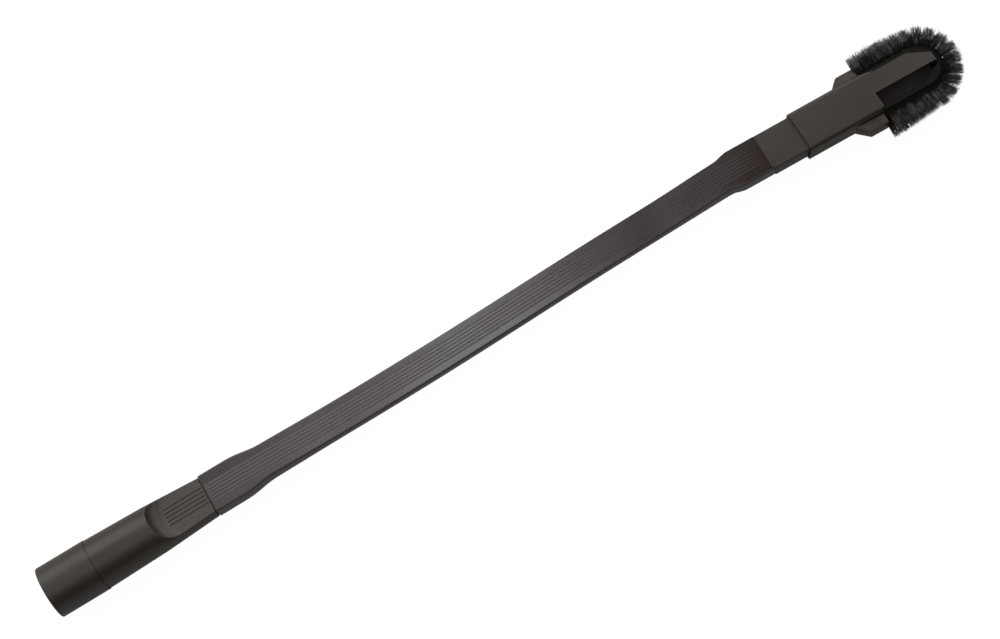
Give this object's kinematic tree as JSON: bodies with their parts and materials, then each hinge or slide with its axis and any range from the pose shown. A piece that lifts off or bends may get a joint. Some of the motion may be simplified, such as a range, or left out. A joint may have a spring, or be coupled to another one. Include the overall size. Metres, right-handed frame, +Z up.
{
  "type": "radiator brush",
  "caption": "Long flat flexible vacuum cleaner nozzle with a round hose socket at one end and a slip-on horseshoe-shaped bristle head at the other",
  "frame": {"origin": "in the plane the tool lies on, below the middle of its box", "axes": "+X from the hose socket to the brush tip along the tool, +Z up out of the broad faces; the hood's window faces up"},
  "size_m": [0.7584, 0.0719, 0.0394],
  "materials": {
    "charcoal_shell": "moulded polypropylene, charcoal, low sheen",
    "charcoal_flexible": "soft flexible polyethylene, charcoal, dull",
    "black_rim": "moulded polypropylene, black, dull",
    "black_bristle": "nylon filament, black"
  },
  "bodies": {
    "connector": {"hose_connector": "charcoal_shell", "flexible_tube": "charcoal_flexible"},
    "nozzle": {"mouthpiece": "charcoal_shell"},
    "brush": {"brush_head": "charcoal_shell", "bristle_rim": "black_rim", "tuft_upper_01": "black_bristle", "tuft_upper_02": "black_bristle", "tuft_upper_03": "black_bristle", "tuft_upper_04": "black_bristle", "tuft_upper_05": "black_bristle", "tuft_upper_06": "black_bristle", "tuft_upper_07": "black_bristle", "tuft_upper_08": "black_bristle", "tuft_upper_09": "black_bristle", "tuft_upper_10": "black_bristle", "tuft_upper_11": "black_bristle", "tuft_upper_12": "black_bristle", "tuft_upper_13": "black_bristle", "tuft_upper_14": "black_bristle", "tuft_upper_15": "black_bristle", "tuft_upper_16": "black_bristle", "tuft_upper_17": "black_bristle", "tuft_upper_18": "black_bristle", "tuft_upper_19": "black_bristle", "tuft_upper_20": "black_bristle", "tuft_upper_21": "black_bristle", "tuft_lower_01": "black_bristle", "tuft_lower_02": "black_bristle", "tuft_lower_03": "black_bristle", "tuft_lower_04": "black_bristle", "tuft_lower_05": "black_bristle", "tuft_lower_06": "black_bristle", "tuft_lower_07": "black_bristle", "tuft_lower_08": "black_bristle", "tuft_lower_09": "black_bristle", "tuft_lower_10": "black_bristle", "tuft_lower_11": "black_bristle", "tuft_lower_12": "black_bristle", "tuft_lower_13": "black_bristle", "tuft_lower_14": "black_bristle", "tuft_lower_15": "black_bristle", "tuft_lower_16": "black_bristle", "tuft_lower_17": "black_bristle", "tuft_lower_18": "black_bristle", "tuft_lower_19": "black_bristle", "tuft_lower_20": "black_bristle", "tuft_lower_21": "black_bristle"}
  },
  "joints": [
    {"name": "tube_flex", "type": "hinge", "parent": "connector", "child": "nozzle", "pos_m": [-0.0164, 0.00077, 0.0197], "axis": [0, 1, 0], "range_deg": [-60, 60], "stiffness_Nm_per_rad": 3, "deforming": ["flexible_tube"]},
    {"name": "brush_head_pull", "type": "slide", "parent": "nozzle", "child": "brush", "axis": [0.9994, -0.036, 0], "range_m": [0, 0.035]}
  ]
}
